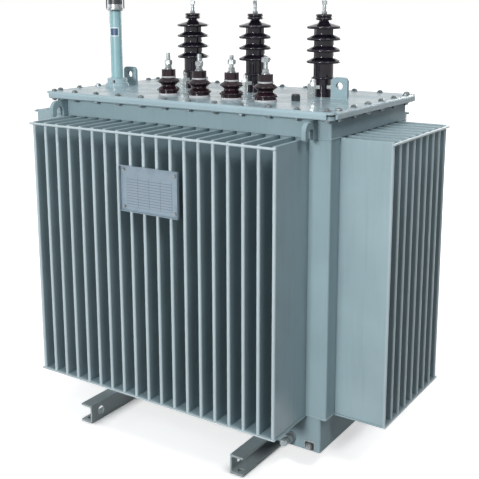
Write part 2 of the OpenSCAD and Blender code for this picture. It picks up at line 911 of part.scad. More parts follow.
// Stub with a flange ring at the pan, a hexagon and a round end cap
module drain_valve() {
    across = drain_d * drain_hex;
    step = drain_out / 8;
    color(steel) translate([drain_x, -pan_y, pan_z + drain_z]) rotate([90, 0, 0]) {
        cylinder(d = drain_d * drain_neck, h = drain_out - step);
        cylinder(d = across, h = step);
        translate([0, 0, 2 * step]) cylinder(d = across, h = 2 * step, $fn = 6);
        translate([0, 0, 5 * step]) cylinder(d = drain_d, h = 2 * step);
        translate([0, 0, 7 * step]) cylinder(d1 = drain_d, d2 = drain_d * drain_neck, h = step);
    }
}

// Shallow tray on the fin tips, its rim turned forward
module name_plate() {
    y = tip_y + fit;
    color(steel) translate([plate_x, -y, band_z - plate_drop]) rotate([90, 0, 0]) difference() {
        linear_extrude(plate_edge) plan(plate_w / 2, plate_h / 2);
        translate([0, 0, plate_t])
            linear_extrude(plate_edge) plan(plate_w / 2 - plate_t, plate_h / 2 - plate_t);
    }
}

base_channel_left();
base_channel_right();
base_pan();
fin_shelf();
front_fin_wall();
back_fin_wall();
left_fin_wall();
right_fin_wall();
front_fin_rod();
back_fin_rod();
left_fin_rod();
right_fin_rod();
corner_post_front_left();
corner_post_front_right();
corner_post_back_left();
corner_post_back_right();
upper_wall_band();
tank_flange();
lid_gasket();
lid();
lifting_hook_front_left();
lifting_hook_front_right();
lifting_hook_back_left();
lifting_hook_back_right();
lifting_lug_left();
lifting_lug_right();
filler_flange();
filler_pipe();
valve_seat();
relief_valve_cap();
hv_bushing_1();
hv_bushing_2();
hv_bushing_3();
hv_claws();
hv_studs();
lv_bushing_1();
lv_bushing_2();
lv_bushing_3();
lv_bushing_4();
lv_gaskets();
lv_studs();
thermometer_plug();
drain_valve();
name_plate();
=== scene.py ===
import math

import bmesh
import bpy
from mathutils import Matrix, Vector


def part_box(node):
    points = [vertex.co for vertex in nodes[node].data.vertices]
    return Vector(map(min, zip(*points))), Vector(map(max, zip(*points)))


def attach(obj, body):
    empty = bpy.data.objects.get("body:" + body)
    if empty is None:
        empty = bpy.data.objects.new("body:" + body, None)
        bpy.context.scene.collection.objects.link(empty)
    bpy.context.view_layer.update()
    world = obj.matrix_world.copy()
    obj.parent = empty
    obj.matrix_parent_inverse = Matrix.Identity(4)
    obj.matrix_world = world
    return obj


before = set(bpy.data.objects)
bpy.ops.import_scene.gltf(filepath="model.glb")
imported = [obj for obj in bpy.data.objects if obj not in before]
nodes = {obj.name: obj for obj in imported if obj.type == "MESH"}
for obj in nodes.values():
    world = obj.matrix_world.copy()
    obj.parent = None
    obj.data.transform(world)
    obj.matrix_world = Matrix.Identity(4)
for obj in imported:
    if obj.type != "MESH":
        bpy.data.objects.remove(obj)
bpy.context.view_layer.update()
scene = bpy.context.scene
mm = 0.001
up, down = Vector((0, 0, 1)), Vector((0, 0, -1))
frontward = Vector((0, -1, 0))
print("frame:", len(nodes), "nodes")


def linear(code):  # sRGB hex to linear RGBA
    parts = [int(code[i:i + 2], 16) / 255 for i in (1, 3, 5)]
    return [c / 12.92 if c <= 0.04045 else ((c + 0.055) / 1.055) ** 2.4 for c in parts] + [1.0]


def perMm(size):  # texture scale that gives features of this many millimetres
    return 1 / (size * mm)


def addNode(tree, kind, links=None, **settings):  # links holds a socket to join or a value to set
    node = tree.nodes.new(kind)
    for key, value in settings.items():
        setattr(node, key, value)
    for socket, source in (links or {}).items():
        if isinstance(source, bpy.types.NodeSocket):
            tree.links.new(source, node.inputs[socket])
        else:
            node.inputs[socket].default_value = source
    return node


def blankMaterial(name):
    material = bpy.data.materials.new(name)
    material.use_nodes = True
    tree = material.node_tree
    place = addNode(tree, "ShaderNodeTexCoord").outputs["Object"]
    return material, tree, tree.nodes["Principled BSDF"], place


def middle(node):  # middle of a CAD node's box
    low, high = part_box(node)
    return (low + high) / 2


# sprayed enamel on sheet steel: soft gloss, faint orange peel, run marks, painted shade in the
# corners and painted highlights on the edges and fin tips
# a colour Mix takes its factor at socket 0 and its colours at 6 and 7, and gives output 2
def enamel(name, look):
    material, tree, shader, place = blankMaterial(name)
    cloud = addNode(tree, "ShaderNodeTexNoise",
                    {"Vector": place, "Scale": perMm(look["cloudMm"]), "Detail": 5.0})
    tone = addNode(tree, "ShaderNodeMapRange",
                   {"Value": cloud.outputs["Fac"], **look["cloudSpan"]})
    coat = addNode(tree, "ShaderNodeMix",
                   {0: tone.outputs[0], 6: linear(look["colour"]), 7: linear(look["shade"])},
                   data_type="RGBA")
    # run marks down the sheet, long in z
    stretch = addNode(tree, "ShaderNodeMapping",
                      {"Vector": place, "Scale": (1.0, 1.0, look["runStretch"])})
    runs = addNode(tree, "ShaderNodeTexNoise",
                   {"Vector": stretch.outputs[0], "Scale": perMm(look["runMm"]), "Detail": 3.0})
    runMask = addNode(tree, "ShaderNodeMapRange",
                      {"Value": runs.outputs["Fac"], **look["runSpan"], "To Max": look["runs"]})
    marked = addNode(tree, "ShaderNodeMix",
                     {0: runMask.outputs[0], 6: coat.outputs[2], 7: linear(look["dustAndShade"])},
                     data_type="RGBA")
    # painted shade where the sheets meet: darker in the corners, by ambient occlusion
    hollow = addNode(tree, "ShaderNodeAmbientOcclusion", {"Distance": look["cornerMm"] * mm},
                     samples=6)
    corner = addNode(tree, "ShaderNodeMapRange",
                     {"Value": hollow.outputs["AO"], **look["cornerSpan"],
                      "To Max": look["cornerShade"]})
    shadedCorners = addNode(tree, "ShaderNodeMix",
                    {0: corner.outputs[0], 6: marked.outputs[2], 7: linear(look["dustAndShade"])},
                    data_type="RGBA")
    # folded edges are rounded, and the enamel there is painted paler: a painted highlight along
    # the edges
    rounded = addNode(tree, "ShaderNodeBevel", {"Radius": look["edgeMm"] * mm}, samples=4)
    flat = addNode(tree, "ShaderNodeNewGeometry")
    turned = addNode(tree, "ShaderNodeVectorMath",
                     {0: rounded.outputs[0], 1: flat.outputs["True Normal"]},
                     operation="DOT_PRODUCT")
    edge = addNode(tree, "ShaderNodeMapRange",
                   {"Value": turned.outputs["Value"], **look["edgeSpan"], "To Max": look["edge"]})
    highlighted = addNode(tree, "ShaderNodeMix",
                   {0: edge.outputs[0], 6: shadedCorners.outputs[2], 7: linear(look["pale"])},
                   data_type="RGBA")
    for axis, reach in look["tips"].items():  # a painted highlight along the tips of the fins too, paler towards the tip
        apart = addNode(tree, "ShaderNodeSeparateXYZ", {"Vector": place})
        out = addNode(tree, "ShaderNodeMath", {0: apart.outputs[axis]}, operation="ABSOLUTE")
        tip = addNode(tree, "ShaderNodeMapRange",
                      {"Value": out.outputs[0], "From Min": reach - look["tipMm"] * mm,
                       "From Max": reach, "To Max": look["tip"]})
        highlighted = addNode(tree, "ShaderNodeMix",
                       {0: tip.outputs[0], 6: highlighted.outputs[2], 7: linear(look["tipPale"])},
                       data_type="RGBA")
    tree.links.new(highlighted.outputs[2], shader.inputs["Base Color"])
    patch = addNode(tree, "ShaderNodeTexNoise",
                    {"Vector": place, "Scale": perMm(look["patchMm"]), "Detail": 4.0})
    gloss = addNode(tree, "ShaderNodeMapRange",
                    {"Value": patch.outputs["Fac"], **look["patchSpan"],
                     "To Min": look["rough"] - look["roughSpan"],
                     "To Max": look["rough"] + look["roughSpan"]})
    tree.links.new(gloss.outputs[0], shader.inputs["Roughness"])
    # orange peel on a slow wave of the sheet
    peel = addNode(tree, "ShaderNodeTexNoise",
                   {"Vector": place, "Scale": perMm(look["peelMm"]), "Detail": 2.0})
    wave = addNode(tree, "ShaderNodeTexNoise",
                   {"Vector": place, "Scale": perMm(look["waveMm"]), "Detail": 1.0})
    rise = addNode(tree, "ShaderNodeMath",
                   {0: wave.outputs["Fac"], 1: look["waveHeight"], 2: peel.outputs["Fac"]},
                   operation="MULTIPLY_ADD")
    skin = addNode(tree, "ShaderNodeBump",
                   {"Height": rise.outputs[0], "Strength": look["bump"],
                    "Distance": look["peelHighMm"] * mm, "Normal": rounded.outputs[0]})
    tree.links.new(skin.outputs[0], shader.inputs["Normal"])
    shader.inputs["Specular IOR Level"].default_value = look["shine"]
    return material


paintBase = {
    "colour": "#95abb2", "shade": "#8da3aa", "dustAndShade": "#66757a", "pale": "#c3d2d6",
    "cloudMm": 160, "cloudSpan": {"From Min": 0.35, "From Max": 0.65},
    "runMm": 14, "runStretch": 0.06, "runs": 0.10, "runSpan": {"From Min": 0.5, "From Max": 0.75},
    "cornerMm": 22, "cornerShade": 0.45, "cornerSpan": {"From Min": 0.75, "From Max": 0.2},
    "edgeMm": 1.2, "edge": 0.6, "edgeSpan": {"From Min": 0.98, "From Max": 0.75},
    "tips": {}, "tipMm": 7, "tip": 0.5, "tipPale": "#cfdbdf",
    "patchMm": 60, "patchSpan": {"From Min": 0.3, "From Max": 0.7},
    "rough": 0.34, "roughSpan": 0.05, "shine": 0.5,
    "peelMm": 3, "peelHighMm": 0.3, "waveMm": 120, "waveHeight": 6.0, "bump": 0.12}
finTips = {"X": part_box("right_fin_wall")[1].x, "Y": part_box("back_fin_wall")[1].y}
# the fins take a darker shade colour and a stronger corner mask: painted shade deep in the gaps
# between them
finPaint = enamel("blueGreyEnamelFins",
                  dict(paintBase, tips=finTips, dustAndShade="#43565c", cornerMm=34, cornerShade=0.7))
tankPaint = enamel("blueGreyEnamelTank",
                   dict(paintBase, colour="#93a9b0", shade="#8ba0a7", cloudMm=220, shine=0.1,
                        rough=0.45))
lidPaint = enamel("greyEnamelLid",
                  dict(paintBase, colour="#9eb4bc", shade="#96acb4", rough=0.24, roughSpan=0.1,
                       shine=0.3, runs=0.0, waveHeight=14.0))
channelPaint = enamel("greyEnamelChannel",
                      dict(paintBase, colour="#a3afb2", shade="#949fa3", dustAndShade="#4b5455",
                           cornerShade=0.6, rough=0.45, edge=0.45))
pipePaint = enamel("tealEnamelPipe",
                   dict(paintBase, colour="#92b7bc", shade="#8ab0b6", dustAndShade="#5f7a80",
                        pale="#b5d6d9", runs=0.2, peelMm=2))


# fired glaze on porcelain: glass-smooth and dark, a little lighter where it lies thin
def glaze(name, look):
    material, tree, shader, place = blankMaterial(name)
    cloud = addNode(tree, "ShaderNodeTexNoise",
                    {"Vector": place, "Scale": perMm(look["cloudMm"]), "Detail": 6.0})
    tone = addNode(tree, "ShaderNodeMapRange",
                   {"Value": cloud.outputs["Fac"], **look["cloudSpan"]})
    body = addNode(tree, "ShaderNodeMix",
                   {0: tone.outputs[0], 6: linear(look["colour"]), 7: linear(look["thin"])},
                   data_type="RGBA")
    tree.links.new(body.outputs[2], shader.inputs["Base Color"])
    smear = addNode(tree, "ShaderNodeMapRange",
                    {"Value": cloud.outputs["Fac"], **look["smearSpan"],
                     "To Min": look["rough"], "To Max": look["rough"] + look["smear"]})
    tree.links.new(smear.outputs[0], shader.inputs["Roughness"])
    ripple = addNode(tree, "ShaderNodeTexNoise",
                     {"Vector": place, "Scale": perMm(look["rippleMm"]), "Detail": 1.0})
    skin = addNode(tree, "ShaderNodeBump",
                   {"Height": ripple.outputs["Fac"], "Strength": look["bump"],
                    "Distance": look["rippleHighMm"] * mm})
    tree.links.new(skin.outputs[0], shader.inputs["Normal"])
    shader.inputs["Specular IOR Level"].default_value = look["shine"]
    return material


glazeBase = {
    "cloudSpan": {"From Min": 0.4, "From Max": 0.7}, "rough": 0.05, "smear": 0.08,
    "smearSpan": {"From Min": 0.3, "From Max": 0.7}, "rippleHighMm": 0.4, "bump": 0.15}
hvGlaze = glaze("darkBrownGlaze", dict(glazeBase, colour="#15131b", thin="#261f2b", cloudMm=30,
                                       rippleMm=18, shine=0.35))
lvGlaze = glaze("redBrownGlaze", dict(glazeBase, colour="#1b1117", thin="#2c1a22", cloudMm=22,
                                      rippleMm=15, shine=0.3))


# zinc-plated, cast or anodised metal: light, dull, with darker stains and a painted shade in the
# corners
def plated(name, look):
    material, tree, shader, place = blankMaterial(name)
    stain = addNode(tree, "ShaderNodeTexNoise",
                    {"Vector": place, "Scale": perMm(look["stainMm"]), "Detail": 6.0})
    tone = addNode(tree, "ShaderNodeMapRange",
                   {"Value": stain.outputs["Fac"], **look["stainSpan"]})
    metal = addNode(tree, "ShaderNodeMix",
                    {0: tone.outputs[0], 6: linear(look["colour"]), 7: linear(look["stain"])},
                    data_type="RGBA")
    # painted shade: darker in the hollows, by ambient occlusion
    hollow = addNode(tree, "ShaderNodeAmbientOcclusion", {"Distance": look["cornerMm"] * mm},
                     samples=6)
    corner = addNode(tree, "ShaderNodeMapRange",
                     {"Value": hollow.outputs["AO"], **look["cornerSpan"],
                      "To Max": look["cornerShade"]})
    shadedCorners = addNode(tree, "ShaderNodeMix",
                    {0: corner.outputs[0], 6: metal.outputs[2], 7: linear(look["hollowShade"])},
                    data_type="RGBA")
    tree.links.new(shadedCorners.outputs[2], shader.inputs["Base Color"])
    wear = addNode(tree, "ShaderNodeMapRange",
                   {"Value": stain.outputs["Fac"], **look["wearSpan"],
                    "To Min": look["rough"] - look["rubbed"],
                    "To Max": look["rough"] + look["dulled"]})
    tree.links.new(wear.outputs[0], shader.inputs["Roughness"])
    grain = addNode(tree, "ShaderNodeTexNoise",
                    {"Vector": place, "Scale": perMm(look["grainMm"]), "Detail": 2.0})
    skin = addNode(tree, "ShaderNodeBump",
                   {"Height": grain.outputs["Fac"], "Strength": look["bump"],
                    "Distance": look["grainHighMm"] * mm})
    tree.links.new(skin.outputs[0], shader.inputs["Normal"])
    shader.inputs["Metallic"].default_value = look["metallic"]
    return material


# the grain of such metal is finer than this: it is drawn coarse enough to show
metalBase = {
    "stainSpan": {"From Min": 0.45, "From Max": 0.75}, "cornerMm": 6, "cornerShade": 0.6,
    "cornerSpan": {"From Min": 0.8, "From Max": 0.2},
    "wearSpan": {"From Min": 0.3, "From Max": 0.7}, "rubbed": 0.08, "dulled": 0.12,
    "grainHighMm": 0.2, "bump": 0.25}
zincSteel = plated("zincPlatedSteel",
                   dict(metalBase, colour="#989ea0", stain="#6c7070", hollowShade="#2e2f2f",
                        stainMm=9, rough=0.34, grainMm=1.2, metallic=0.9))
castAlloy = plated("castAlloyClaw",
                   dict(metalBase, colour="#e6eaea", stain="#b4b8b6", hollowShade="#2b2a28",
                        cornerShade=0.25, stainMm=7, rough=0.24, grainMm=3, metallic=0.7))
valveSteel = plated("paintedValveSteel",
                    dict(metalBase, colour="#a3adb0", stain="#737b7d", hollowShade="#33383a",
                         stainMm=8, rough=0.36, grainMm=1.5, metallic=0.45))
boltSteel = plated("darkBoltSteel",
                   dict(metalBase, colour="#7c8588", stain="#50575a", hollowShade="#2b2f31",
                        stainMm=8, rough=0.3, grainMm=1.5, metallic=0.6))
plateAlloy = plated("anodisedTray",
                    dict(metalBase, colour="#8798a4", stain="#7d8d99", hollowShade="#56616a",
                         stainMm=30, rough=0.42, grainMm=1, metallic=0.15))


# rubber, moulded plastic or printed film: even, with a fine matt grain
def moulded(name, look):
    material, tree, shader, place = blankMaterial(name)
    grain = addNode(tree, "ShaderNodeTexNoise",
                    {"Vector": place, "Scale": perMm(look["grainMm"]), "Detail": 3.0})
    bloom = addNode(tree, "ShaderNodeTexNoise",
                    {"Vector": place, "Scale": perMm(look["bloomMm"]), "Detail": 4.0})
    tone = addNode(tree, "ShaderNodeMapRange",
                   {"Value": bloom.outputs["Fac"], **look["bloomSpan"]})
    body = addNode(tree, "ShaderNodeMix",
                   {0: tone.outputs[0], 6: linear(look["colour"]), 7: linear(look["bloom"])},
                   data_type="RGBA")
    tree.links.new(body.outputs[2], shader.inputs["Base Color"])
    dull = addNode(tree, "ShaderNodeMapRange",
                   {"Value": grain.outputs["Fac"], "To Min": look["rough"] - look["roughSpan"],
                    "To Max": look["rough"] + look["roughSpan"]})
    tree.links.new(dull.outputs[0], shader.inputs["Roughness"])
    skin = addNode(tree, "ShaderNodeBump",
                   {"Height": grain.outputs["Fac"], "Strength": look["bump"],
                    "Distance": look["grainHighMm"] * mm})
    tree.links.new(skin.outputs[0], shader.inputs["Normal"])
    return material


# a moulded grain is finer than this too, and is drawn coarse enough to show
mouldBase = {"bloomMm": 25, "bloomSpan": {"From Min": 0.4, "From Max": 0.75}, "roughSpan": 0.1,
             "grainHighMm": 0.2, "bump": 0.2}
gasketRubber = moulded("nitrileRubber", dict(mouldBase, colour="#1f2122", bloom="#323434",
                                             grainMm=2, rough=0.7))
paleRubber = moulded("paleNitrileRubber", dict(mouldBase, colour="#bfc1c4", bloom="#a6a6aa",
                                               grainMm=1.5, rough=0.75))
blackPlastic = moulded("blackMouldedPlastic", dict(mouldBase, colour="#23282c", bloom="#343b40",
                                                   grainMm=1, rough=0.32))
labelBlue = moulded("blueLabelFilm", dict(mouldBase, colour="#2c4a66", bloom="#37587a",
                                          grainMm=3, rough=0.35))
labelWhite = moulded("whiteLabelFilm", dict(mouldBase, colour="#dfe8ee", bloom="#d2dde4",
                                            grainMm=3, rough=0.35))
print("materials:", len(bpy.data.materials))

# a key stands for every node whose name starts with it, and the longest key wins
finishes = {
    "base_channel_": channelPaint, "base_pan": tankPaint, "fin_shelf": finPaint,
    "corner_post": tankPaint, "upper_wall_band": tankPaint, "tank_flange": tankPaint,
    "lid_gasket": gasketRubber, "lid": lidPaint, "lifting_hook": tankPaint,
    "lifting_lug": tankPaint, "filler_flange": lidPaint, "filler_pipe": pipePaint,
    "valve_seat": zincSteel, "relief_valve_cap": blackPlastic, "hv_bushing": hvGlaze,
    "lv_bushing": lvGlaze, "hv_claws": castAlloy, "hv_studs": zincSteel, "lv_studs": zincSteel,
    "lv_gaskets": paleRubber, "thermometer_plug": blackPlastic, "drain_valve": valveSteel,
    "name_plate": plateAlloy}
for name, part in nodes.items():
    keys = [k for k in finishes if name.startswith(k)]
    chosen = finishes[max(keys, key=len)] if keys else finPaint  # the rest are fin walls and rods
    part.data.materials.clear()
    part.data.materials.append(chosen)
print("finishes on", len(nodes), "nodes")


def newTree(name, inputs):  # a node tree with a geometry in and out and these named inputs
    tree = bpy.data.node_groups.new(name, "GeometryNodeTree")
    tree.interface.new_socket("Geometry", in_out="INPUT", socket_type="NodeSocketGeometry")
    for label, kind in inputs:
        tree.interface.new_socket(label, in_out="INPUT", socket_type="NodeSocket" + kind)
    tree.interface.new_socket("Geometry", in_out="OUTPUT", socket_type="NodeSocketGeometry")
    return tree, addNode(tree, "NodeGroupInput").outputs


def closeTree(tree, geometry, material):  # realize, paint, out
    real = addNode(tree, "GeometryNodeRealizeInstances", {"Geometry": geometry})
    painted = addNode(tree, "GeometryNodeSetMaterial",
                      {"Geometry": real.outputs[0], "Material": material})
    addNode(tree, "NodeGroupOutput", {"Geometry": painted.outputs[0]})


def onPoints(tree, points, shape, seed):  # a shape at each point, along its axis, turned by chance
    axis = addNode(tree, "GeometryNodeInputNamedAttribute", {"Name": "axis"},
                   data_type="FLOAT_VECTOR")
    aim = addNode(tree, "FunctionNodeAlignRotationToVector", {"Vector": axis.outputs[0]},
                  axis="Z")
    chance = addNode(tree, "FunctionNodeRandomValue", {"Seed": seed, 3: math.tau})  # 3 is Max
    spin = addNode(tree, "FunctionNodeAxisAngleToRotation", {"Angle": chance.outputs[1]})
    turned = addNode(tree, "FunctionNodeRotateRotation",
                     {"Rotation": aim.outputs[0], "Rotate By": spin.outputs[0]},
                     rotation_space="LOCAL")
    return addNode(tree, "GeometryNodeInstanceOnPoints",
                   {"Points": points, "Instance": shape, "Rotation": turned.outputs[0]}).outputs[0]


# the last four are shares of the hexagon's height or radius
boltShape = {"washerSides": 20, "threadSides": 12, "straight": 0.85, "chamferFrom": 0.84,
             "chamferHigh": 0.16, "chamferTop": 0.84}


def bolts():  # washer, chamfered hexagon and thread end
    tree, given = newTree("bolts", [
        ("Washer Radius", "Float"), ("Washer Height", "Float"), ("Hex Radius", "Float"),
        ("Hex Height", "Float"), ("Thread Radius", "Float"), ("Thread Out", "Float"),
        ("Seed", "Int"), ("Material", "Material")])
    straight = addNode(tree, "ShaderNodeMath",
                       {0: given["Hex Height"], 1: boltShape["straight"]}, operation="MULTIPLY")
    slope = addNode(tree, "ShaderNodeMath",
                    {0: given["Hex Height"], 1: boltShape["chamferHigh"]}, operation="MULTIPLY")
    crown = addNode(tree, "ShaderNodeMath",
                    {0: given["Hex Radius"], 1: boltShape["chamferTop"]}, operation="MULTIPLY")
    hexTop = addNode(tree, "ShaderNodeMath",
                     {0: given["Washer Height"], 1: given["Hex Height"]}, operation="ADD")
    washer = addNode(tree, "GeometryNodeMeshCylinder",
                     {"Vertices": boltShape["washerSides"], "Radius": given["Washer Radius"],
                      "Depth": given["Washer Height"]})
    hexagon = addNode(tree, "GeometryNodeMeshCylinder",
                      {"Vertices": 6, "Radius": given["Hex Radius"], "Depth": straight.outputs[0]})
    chamfer = addNode(tree, "GeometryNodeMeshCone",
                      {"Vertices": 6, "Radius Top": crown.outputs[0],
                       "Radius Bottom": given["Hex Radius"], "Depth": slope.outputs[0]})
    thread = addNode(tree, "GeometryNodeMeshCylinder",
                     {"Vertices": boltShape["threadSides"], "Radius": given["Thread Radius"],
                      "Depth": given["Thread Out"]})
    # each solid is raised by a share of a size, above a base
    stack = [(washer, given["Washer Height"], 0.5, 0.0),
             (hexagon, straight.outputs[0], 0.5, given["Washer Height"]),
             (chamfer, given["Hex Height"], boltShape["chamferFrom"], given["Washer Height"]),
             (thread, given["Thread Out"], 0.5, hexTop.outputs[0])]
    joined = addNode(tree, "GeometryNodeJoinGeometry")
    for solid, size, share, base in stack:
        rise = addNode(tree, "ShaderNodeMath", {0: size, 1: share, 2: base},
                       operation="MULTIPLY_ADD")
        lift = addNode(tree, "ShaderNodeCombineXYZ", {"Z": rise.outputs[0]})
        raised = addNode(tree, "GeometryNodeTransform",
                         {"Geometry": solid.outputs[0], "Translation": lift.outputs[0]})
        tree.links.new(raised.outputs[0], joined.inputs[0])
    closeTree(tree, onPoints(tree, given["Geometry"], joined.outputs[0], given["Seed"]),
              given["Material"])
    return tree


threadShape = {"stepsPerTurn": 12, "ridgeSides": 3}


def threads():  # a fine helix round a stud
    tree, given = newTree("threads", [
        ("Radius", "Float"), ("Turns", "Float"), ("Height", "Float"), ("Ridge", "Float"),
        ("Seed", "Int"), ("Material", "Material")])
    helix = addNode(tree, "GeometryNodeCurveSpiral",
                    {"Resolution": threadShape["stepsPerTurn"], "Rotations": given["Turns"],
                     "Start Radius": given["Radius"], "End Radius": given["Radius"],
                     "Height": given["Height"]})
    ridge = addNode(tree, "GeometryNodeCurvePrimitiveCircle",
                    {"Resolution": threadShape["ridgeSides"], "Radius": given["Ridge"]})
    coil = addNode(tree, "GeometryNodeCurveToMesh",
                   {"Curve": helix.outputs[0], "Profile Curve": ridge.outputs[0],
                    "Fill Caps": True})
    closeTree(tree, onPoints(tree, given["Geometry"], coil.outputs[0], given["Seed"]),
              given["Material"])
    return tree


beadSides = 8


def beads():  # a rippled weld along every line of the mesh
    tree, given = newTree("beads", [
        ("Radius", "Float"), ("Step", "Float"), ("Ripple", "Float"), ("Ripple Scale", "Float"),
        ("Material", "Material")])
    line = addNode(tree, "GeometryNodeMeshToCurve", {"Mesh": given["Geometry"]})
    even = addNode(tree, "GeometryNodeResampleCurve",
                   {"Curve": line.outputs[0], "Length": given["Step"]}, mode="LENGTH")
    ring = addNode(tree, "GeometryNodeCurvePrimitiveCircle",
                   {"Resolution": beadSides, "Radius": given["Radius"]})
    tube = addNode(tree, "GeometryNodeCurveToMesh",
                   {"Curve": even.outputs[0], "Profile Curve": ring.outputs[0],
                    "Fill Caps": True})
    noise = addNode(tree, "ShaderNodeTexNoise", {"Scale": given["Ripple Scale"], "Detail": 1.0})
    lift = addNode(tree, "ShaderNodeMath", {0: noise.outputs["Fac"], 1: given["Ripple"]},
                   operation="MULTIPLY")
    out = addNode(tree, "GeometryNodeInputNormal")
    push = addNode(tree, "ShaderNodeVectorMath", {0: out.outputs[0], "Scale": lift.outputs[0]},
                   operation="SCALE")
    lumpy = addNode(tree, "GeometryNodeSetPosition",
                    {"Geometry": tube.outputs[0], "Offset": push.outputs[0]})
    soft = addNode(tree, "GeometryNodeSetShadeSmooth", {"Geometry": lumpy.outputs[0]})
    closeTree(tree, soft.outputs[0], given["Material"])
    return tree


def pointMesh(name, spots):  # spots are (place, axis)
    mesh = bpy.data.meshes.new(name)
    mesh.from_pydata([tuple(place) for place, axis in spots], [], [])
    axes = mesh.attributes.new("axis", "FLOAT_VECTOR", "POINT")
    for item, (place, axis) in zip(axes.data, spots):
        item.vector = axis
    return mesh


def lineMesh(name, lines):  # lines are lists of points, closed where the last is the first
    mesh = bpy.data.meshes.new(name)
    points, edges = [], []
    for line in lines:
        closed = line[0] == line[-1]
        run = line[:-1] if closed else line
        start = len(points)
        points += [tuple(p) for p in run]
        edges += [(start + i, start + i + 1) for i in range(len(run) - 1)]
        if closed:
            edges.append((start + len(run) - 1, start))
    mesh.from_pydata(points, edges, [])
    return mesh


def addPiece(name, mesh):
    piece = bpy.data.objects.new(name, mesh)
    scene.collection.objects.link(piece)
    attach(piece, "root")
    print(name, len(mesh.polygons), "faces")
    return piece


def grow(name, base, tree, values):  # runs the tree on the base, keeps a plain mesh
    carrier = bpy.data.objects.new(name + "Base", base)
    scene.collection.objects.link(carrier)
    step = carrier.modifiers.new("Nodes", "NODES")
    step.node_group = tree
    keys = {item.name: item.identifier for item in tree.interface.items_tree
            if item.in_out == "INPUT"}
    for label, value in values.items():
        step[keys[label]] = value
    ready = carrier.evaluated_get(bpy.context.evaluated_depsgraph_get())
    made = bpy.data.meshes.new_from_object(ready)
    made.name = name
    carrier.modifiers.remove(step)
    bpy.data.objects.remove(carrier)
    return addPiece(name, made)


def slab(name, size, centre, bevel, material):  # flat plate with rounded edges
    mesh = bpy.data.meshes.new(name)
    shape = bmesh.new()
    bmesh.ops.create_cube(shape, size=1)
    bmesh.ops.scale(shape, verts=shape.verts, vec=size)
    bmesh.ops.translate(shape, verts=shape.verts, vec=centre)
    bmesh.ops.bevel(shape, geom=shape.edges[:], offset=bevel, segments=2, affect="EDGES")
    shape.to_mesh(mesh)
    shape.free()
    mesh.materials.append(material)
    return addPiece(name, mesh)


boltTree, threadTree, beadTree = bolts(), threads(), beads()
print("node trees:", len(bpy.data.node_groups))

# bolts round the lid, their heads on top and their nuts under the flange
lidBolts = {
    "pitch": 85 * mm, "frontCount": 12, "sideCount": 6, "frontInset": 19 * mm,
    "sideInset": 15 * mm, "headSeed": 4, "nutSeed": 9,
    "sizes": {"Washer Radius": 10 * mm, "Washer Height": 1.2 * mm, "Hex Radius": 8 * mm,
              "Hex Height": 4.6 * mm, "Thread Radius": 4 * mm, "Thread Out": 1.2 * mm,
              "Material": boltSteel}}
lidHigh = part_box("lid")[1]
lidTop = lidHigh.z
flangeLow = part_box("tank_flange")[0].z
spots = []
for i in range(lidBolts["frontCount"]):
    x = (i - (lidBolts["frontCount"] - 1) / 2) * lidBolts["pitch"]
    for side in (-1, 1):
        spots.append((x, side * (lidHigh.y - lidBolts["frontInset"])))
for i in range(lidBolts["sideCount"]):
    y = (i - (lidBolts["sideCount"] - 1) / 2) * lidBolts["pitch"]
    for side in (-1, 1):
        spots.append((side * (lidHigh.x - lidBolts["sideInset"]), y))
headSpots = [(Vector((x, y, lidTop)), up) for x, y in spots]
nutSpots = [(Vector((x, y, flangeLow)), down) for x, y in spots]
grow("lid_bolt_heads", pointMesh("lidHeads", headSpots), boltTree,
     dict(lidBolts["sizes"], Seed=lidBolts["headSeed"]))
grow("lid_bolt_nuts", pointMesh("lidNuts", nutSpots), boltTree,
     dict(lidBolts["sizes"], Seed=lidBolts["nutSeed"]))

# upper nuts and threads of the high-voltage terminals
hvTop = {
    "nutBelowEnd": 11.5 * mm, "threadFrom": 8 * mm, "turns": 16, "pitch": 1.5 * mm,
    "nut": {"Washer Radius": 7.5 * mm, "Washer Height": 1 * mm, "Hex Radius": 7.4 * mm,
            "Hex Height": 10 * mm, "Thread Radius": 4.6 * mm, "Thread Out": 0.4 * mm,
            "Seed": 2, "Material": zincSteel},
    "thread": {"Radius": 4.8 * mm, "Ridge": 0.7 * mm, "Seed": 1, "Material": zincSteel}}
hvSpots = []
for i in (1, 2, 3):
    at = middle(f"hv_bushing_{i}")
    hvSpots.append(Vector((at.x, at.y, 0)))
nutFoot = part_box("hv_studs")[1].z - hvTop["nutBelowEnd"]
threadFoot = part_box("hv_bushing_1")[1].z + hvTop["threadFrom"]
grow("hv_terminal_nuts", pointMesh("hvNuts", [(p + up * nutFoot, up) for p in hvSpots]),
     boltTree, hvTop["nut"])
grow("hv_threads", pointMesh("hvThreads", [(p + up * threadFoot, up) for p in hvSpots]),
     threadTree, dict(hvTop["thread"], Turns=float(hvTop["turns"]),
                      Height=hvTop["turns"] * hvTop["pitch"]))

